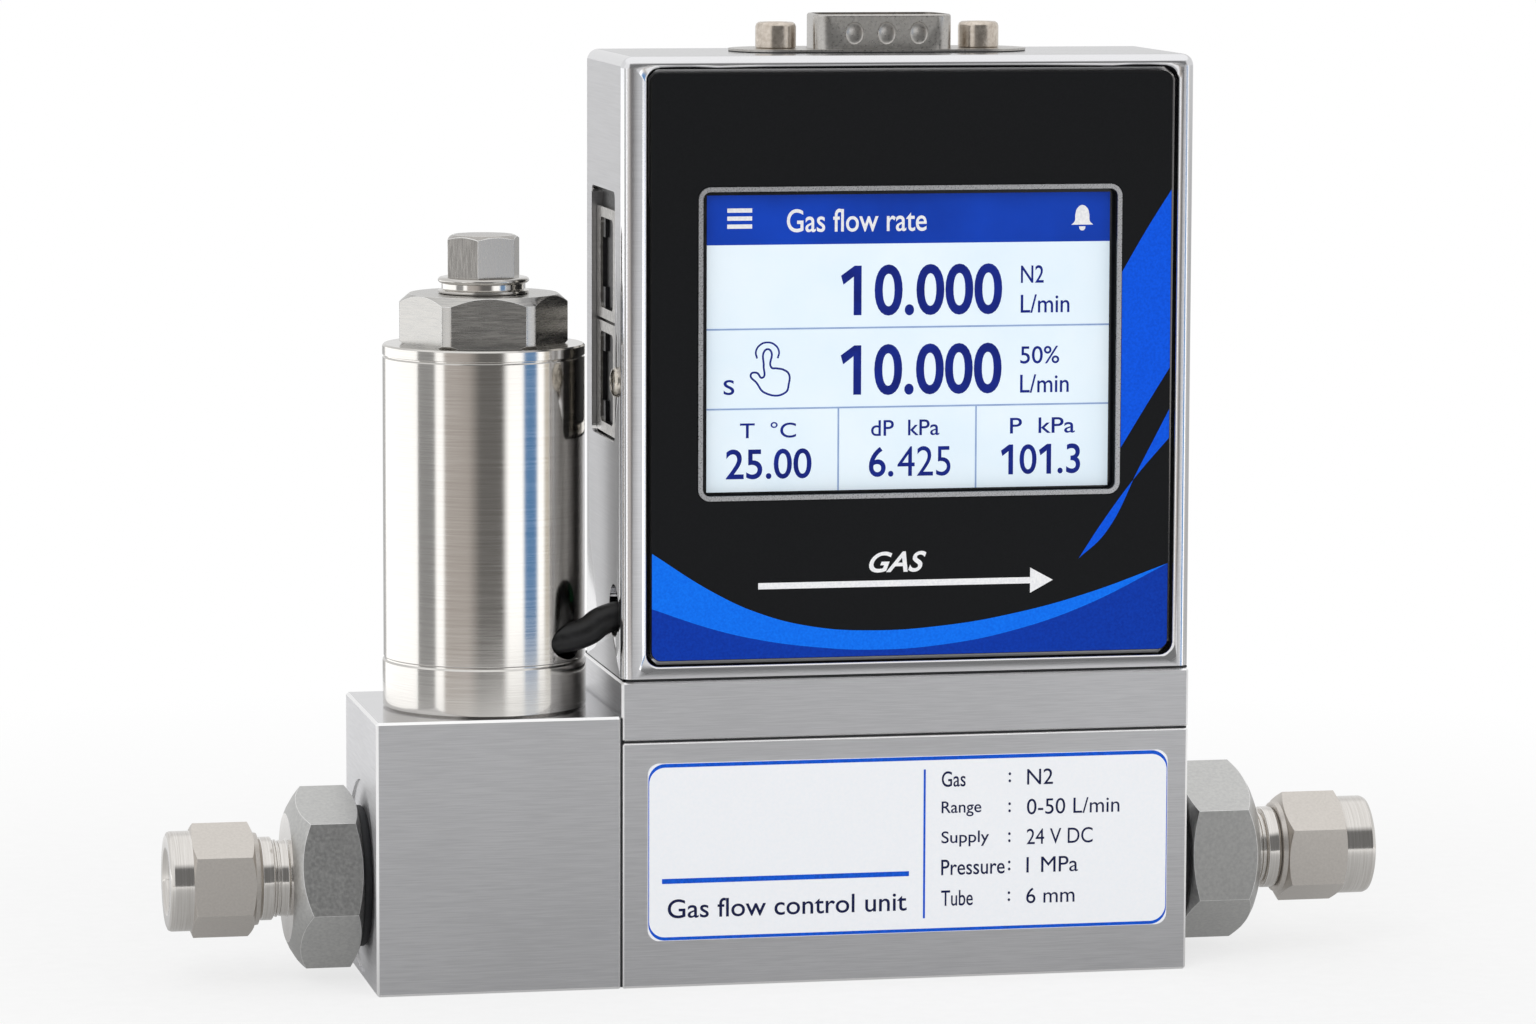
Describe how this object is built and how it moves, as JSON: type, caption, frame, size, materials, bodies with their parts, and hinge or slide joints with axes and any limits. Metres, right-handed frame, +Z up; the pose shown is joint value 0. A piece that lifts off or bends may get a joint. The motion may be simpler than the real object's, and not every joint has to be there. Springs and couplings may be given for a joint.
{
  "type": "mass flow controller",
  "caption": "Gas mass flow controller: a steel manifold with compression fittings at both ends, an upright solenoid valve and a box-shaped display housing with data sockets.",
  "frame": {"origin": "in the base face, half way between the two end faces of the manifold and in line with the ports", "axes": "+X along the flow, from the inlet to the outlet; +Y to the back; +Z up"},
  "size_m": [0.1489, 0.027, 0.1155],
  "materials": {
    "manifold_steel": "fine brushed",
    "housing_metal": "fine brushed with polished corners",
    "can_steel": "turned and polished",
    "fitting_steel": "satin, turned and milled",
    "valve_steel": "satin, turned and milled",
    "inner_steel": "machined",
    "screw_steel": "bright zinc",
    "seal_rubber": "matt",
    "cable_rubber": "satin",
    "panel_black": "satin film",
    "frame_silver": "satin",
    "screen": "lit display under glass",
    "label_film": "satin film",
    "shield_metal": "nickel",
    "black_plastic": "moulded",
    "white_plastic": "moulded",
    "module_metal": "pressed",
    "foam": "foam",
    "board_green": "solder mask",
    "chip_black": "moulded",
    "post_brass": "nickel-free turned",
    "contact_gold": "gold flash",
    "connector_nickel": "satin nickel",
    "coil_resin": "potted",
    "sensor_ceramic": "ceramic",
    "seat_elastomer": "moulded"
  },
  "bodies": {
    "controller": {"valve_block": "manifold_steel", "flow_body": "manifold_steel", "adapter_plate": "manifold_steel", "rating_plate": "label_film", "joint_bolts": "screw_steel", "plate_screws": "screw_steel", "joint_seal": "seal_rubber", "laminar_flow_element": "inner_steel", "inlet_seal_ring": "seal_rubber", "inlet_connector": "fitting_steel", "inlet_front_ferrule": "inner_steel", "inlet_back_ferrule": "inner_steel", "inlet_nut": "fitting_steel", "outlet_seal_ring": "seal_rubber", "outlet_connector": "fitting_steel", "outlet_front_ferrule": "inner_steel", "outlet_back_ferrule": "inner_steel", "outlet_nut": "fitting_steel", "valve_orifice": "inner_steel", "plunger_spring": "inner_steel", "guide_tube": "inner_steel", "guide_gasket": "seal_rubber", "pole_piece": "inner_steel", "valve_base_ring": "valve_steel", "coil_can": "can_steel", "solenoid_coil": "coil_resin", "can_top_ring": "valve_steel", "clamp_nut": "valve_steel", "adjusting_stem": "valve_steel", "valve_cable": "cable_rubber", "cable_plug": "white_plastic", "housing_shell": "housing_metal", "housing_screws": "screw_steel", "rear_cover": "housing_metal", "cover_screws": "screw_steel", "front_panel": "panel_black", "window_frame": "frame_silver", "display_screen": "screen", "display_module": "module_metal", "display_pads": "foam", "main_board": "board_green", "board_chips": "chip_black", "board_posts": "post_brass", "interface_board": "board_green", "interface_posts": "post_brass", "socket_shields": "shield_metal", "socket_bodies": "black_plastic", "socket_contacts": "contact_gold", "earth_screw": "screw_steel", "connector_gasket": "seal_rubber", "connector_shell": "connector_nickel", "connector_insulator": "black_plastic", "connector_pins": "contact_gold", "jackscrews": "connector_nickel", "differential_sensor": "sensor_ceramic", "absolute_sensor": "inner_steel", "temperature_probe": "inner_steel"},
    "plunger": {"plunger": "inner_steel", "seat_disc": "seat_elastomer"}
  },
  "joints": [
    {"name": "plunger_lift", "type": "slide", "parent": "controller", "child": "plunger", "axis": [0, 0, 1], "range_m": [0, 0.0005], "stiffness_N_per_m": 3000, "springref_m": -0.001, "deforming": ["plunger_spring"]}
  ]
}
